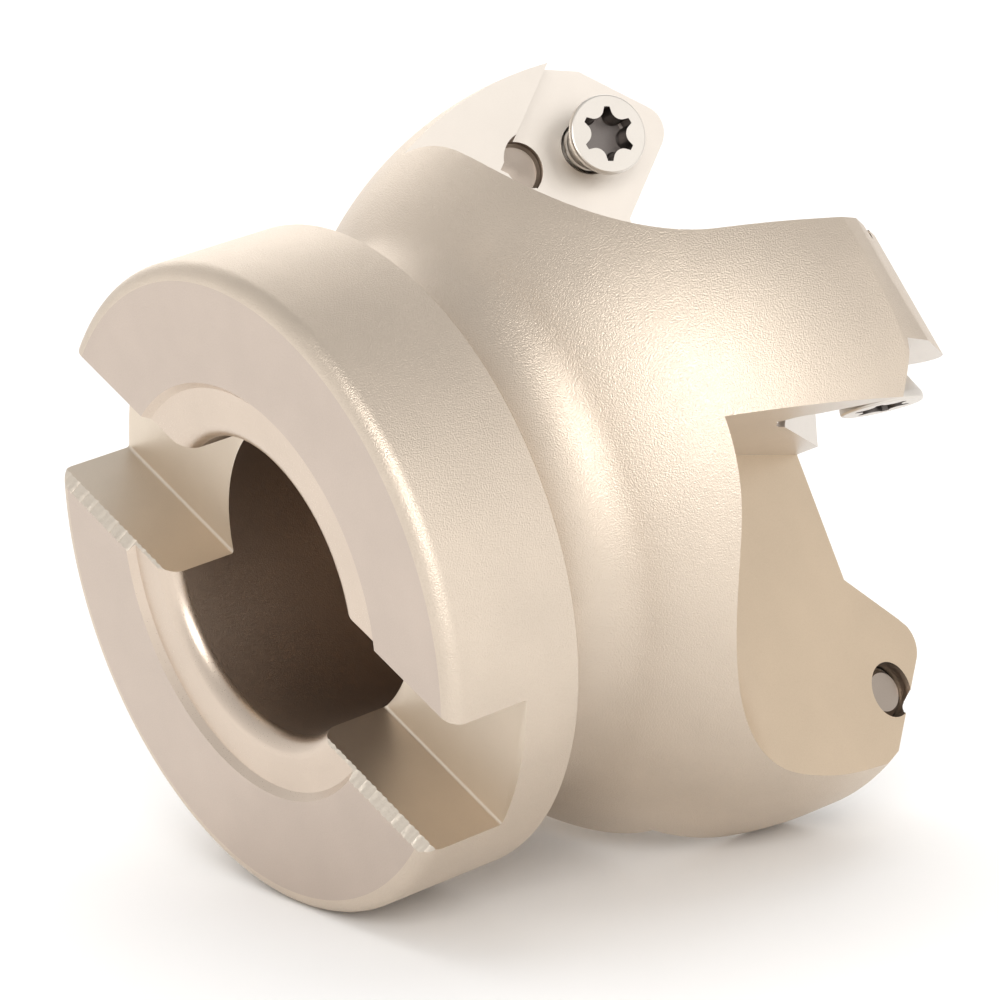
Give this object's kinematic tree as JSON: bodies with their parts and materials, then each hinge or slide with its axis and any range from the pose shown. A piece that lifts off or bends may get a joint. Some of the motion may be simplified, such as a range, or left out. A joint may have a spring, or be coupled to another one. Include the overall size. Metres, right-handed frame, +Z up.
{
  "type": "face mill",
  "caption": "Shell face mill body with a slotted hub, a stepped arbor socket, a curved head and teeth whose empty angled seats hold star-recess insert screws.",
  "frame": {"origin": "point where the cutter axis meets the plane of the hub face", "axes": "+X along the cutter axis from the hub face to the teeth, +Z up with the cutter lying on its side, turned about its axis so the drive slot slants"},
  "size_m": [0.0469, 0.0562, 0.0562],
  "materials": {
    "plated_steel": "satin nickel plate over fine blasted steel",
    "screw_steel": "satin grey steel"
  },
  "bodies": {
    "cutter": {"cutter_body": "plated_steel"},
    "screw_1": {"insert_screw_1": "screw_steel"},
    "screw_2": {"insert_screw_2": "screw_steel"},
    "screw_3": {"insert_screw_3": "screw_steel"},
    "screw_4": {"insert_screw_4": "screw_steel"}
  },
  "joints": [
    {"name": "screw_1_travel", "type": "slide", "parent": "cutter", "child": "screw_1", "axis": [-0.1616, -0.9097, 0.3824], "range_m": [-0.001, 0.009]},
    {"name": "screw_2_travel", "type": "slide", "parent": "cutter", "child": "screw_2", "axis": [-0.1616, -0.3824, -0.9097], "range_m": [-0.001, 0.009]},
    {"name": "screw_3_travel", "type": "slide", "parent": "cutter", "child": "screw_3", "axis": [-0.1616, 0.9097, -0.3824], "range_m": [-0.001, 0.009]},
    {"name": "screw_4_travel", "type": "slide", "parent": "cutter", "child": "screw_4", "axis": [-0.1616, 0.3824, 0.9097], "range_m": [-0.001, 0.009]}
  ]
}
